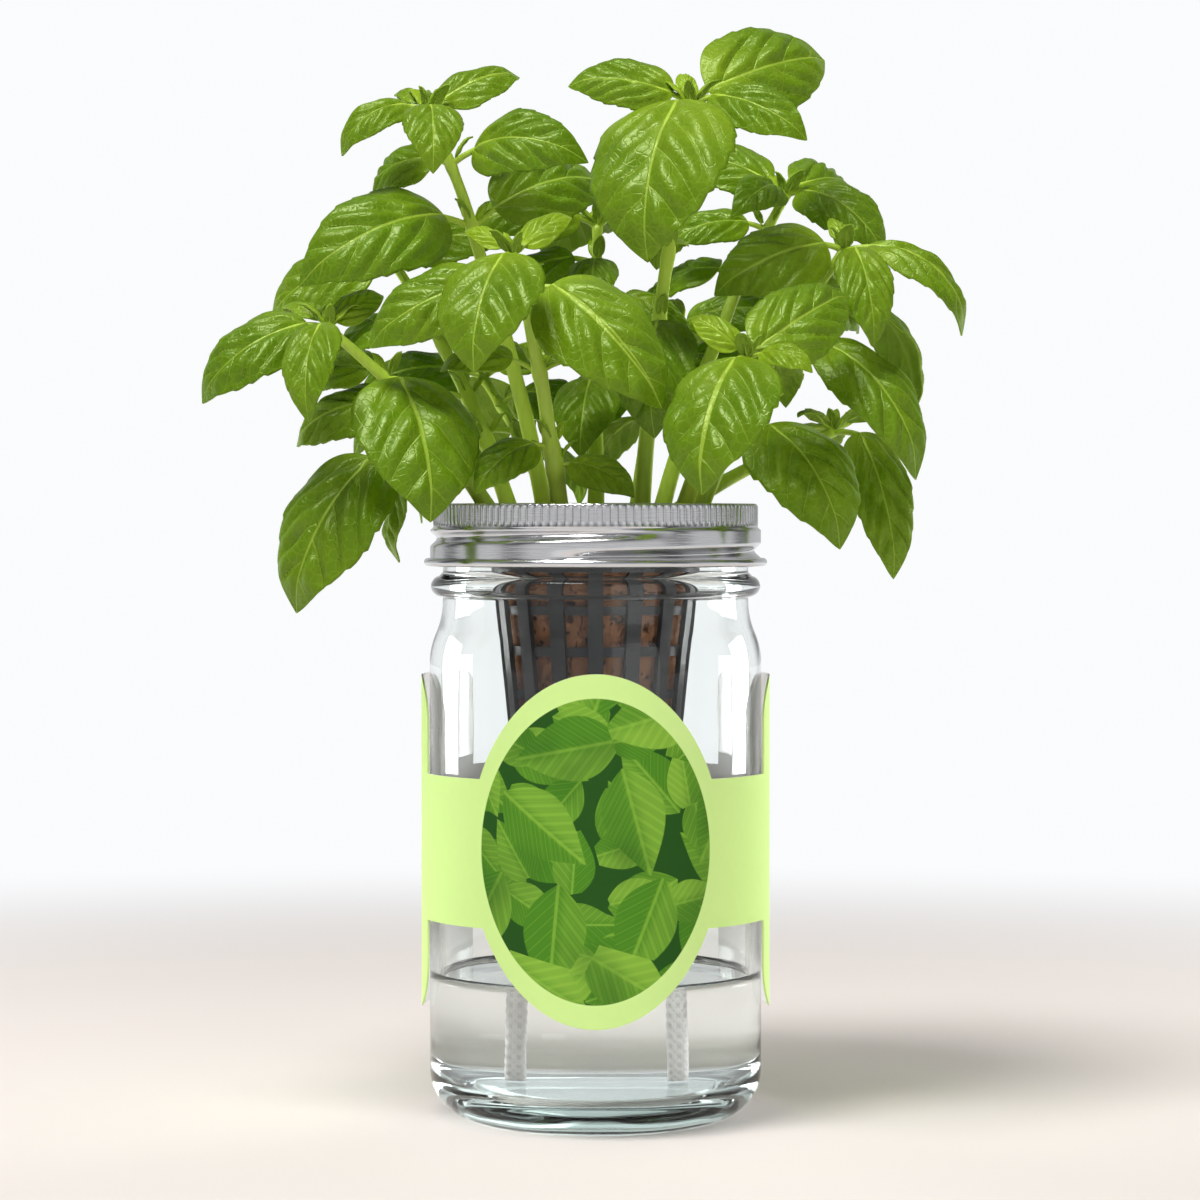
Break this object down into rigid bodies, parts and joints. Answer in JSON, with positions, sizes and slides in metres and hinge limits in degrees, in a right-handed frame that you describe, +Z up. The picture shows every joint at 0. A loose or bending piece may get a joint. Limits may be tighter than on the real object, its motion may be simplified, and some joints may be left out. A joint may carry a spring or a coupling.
{
  "type": "hydroponic jar planter",
  "caption": "Self-watering herb planter: screw-band glass jar holding water, a net cup with a wicked growing plug, a wrap-round card sleeve and a leafy basil plant.",
  "frame": {"origin": "centre of the flat ring under the jar that it stands on", "axes": "+Z up along the jar's axis, +X to the right and -Y towards the viewer who faces the sleeve's oval"},
  "size_m": [0.2049, 0.1605, 0.2947],
  "materials": {
    "glass": "clear soda glass, smooth",
    "water": "clear still water",
    "band": "bright pressed tinplate, satin",
    "cup": "black moulded plastic, satin",
    "plug": "brown pressed cork and coir fibre",
    "wick": "white braided cotton cord",
    "card": "light green printed card, matt, pale grey inside",
    "stem": "smooth pale green herb stem",
    "leaf": "glossy mid green herb leaf"
  },
  "bodies": {
    "jar": {"glass_jar": "glass", "reservoir_water": "water"},
    "sleeve": {"label_sleeve": "card"},
    "cup": {"net_cup": "cup", "wick_left": "wick", "wick_right": "wick"},
    "band": {"screw_band": "band"},
    "plant": {"growing_plug": "plug", "basil_stem_01": "stem", "basil_stem_02": "stem", "basil_stem_03": "stem", "basil_stem_04": "stem", "basil_stem_05": "stem", "basil_stem_06": "stem", "basil_stem_07": "stem", "basil_stem_08": "stem", "basil_stem_09": "stem", "basil_stem_10": "stem", "basil_stem_11": "stem", "basil_stem_12": "stem", "basil_leaves_01": "leaf", "basil_leaves_02": "leaf", "basil_leaves_03": "leaf", "basil_leaves_04": "leaf", "basil_leaves_05": "leaf", "basil_leaves_06": "leaf", "basil_leaves_07": "leaf", "basil_leaves_08": "leaf", "basil_leaves_09": "leaf", "basil_leaves_10": "leaf", "basil_leaves_11": "leaf", "basil_leaves_12": "leaf"}
  },
  "joints": [
    {"name": "sleeve_turn", "type": "hinge", "parent": "jar", "child": "sleeve", "pos_m": [0, 0, 0], "axis": [0, 0, 1], "continuous": true},
    {"name": "lid_lift", "type": "slide", "parent": "jar", "child": "cup", "axis": [0, 0, 1], "range_m": [0, 0.008]},
    {"name": "band_turn", "type": "hinge", "parent": "cup", "child": "band", "pos_m": [0, 0, 0.158], "axis": [0, 0, 1], "range_deg": [0, 450]},
    {"name": "plant_lift", "type": "slide", "parent": "cup", "child": "plant", "axis": [0, 0, 1], "range_m": [0, 0.075]}
  ],
  "couplings": [
    {"joint": "lid_lift", "follows": "band_turn", "m_per_rad": 0.0010106}
  ]
}
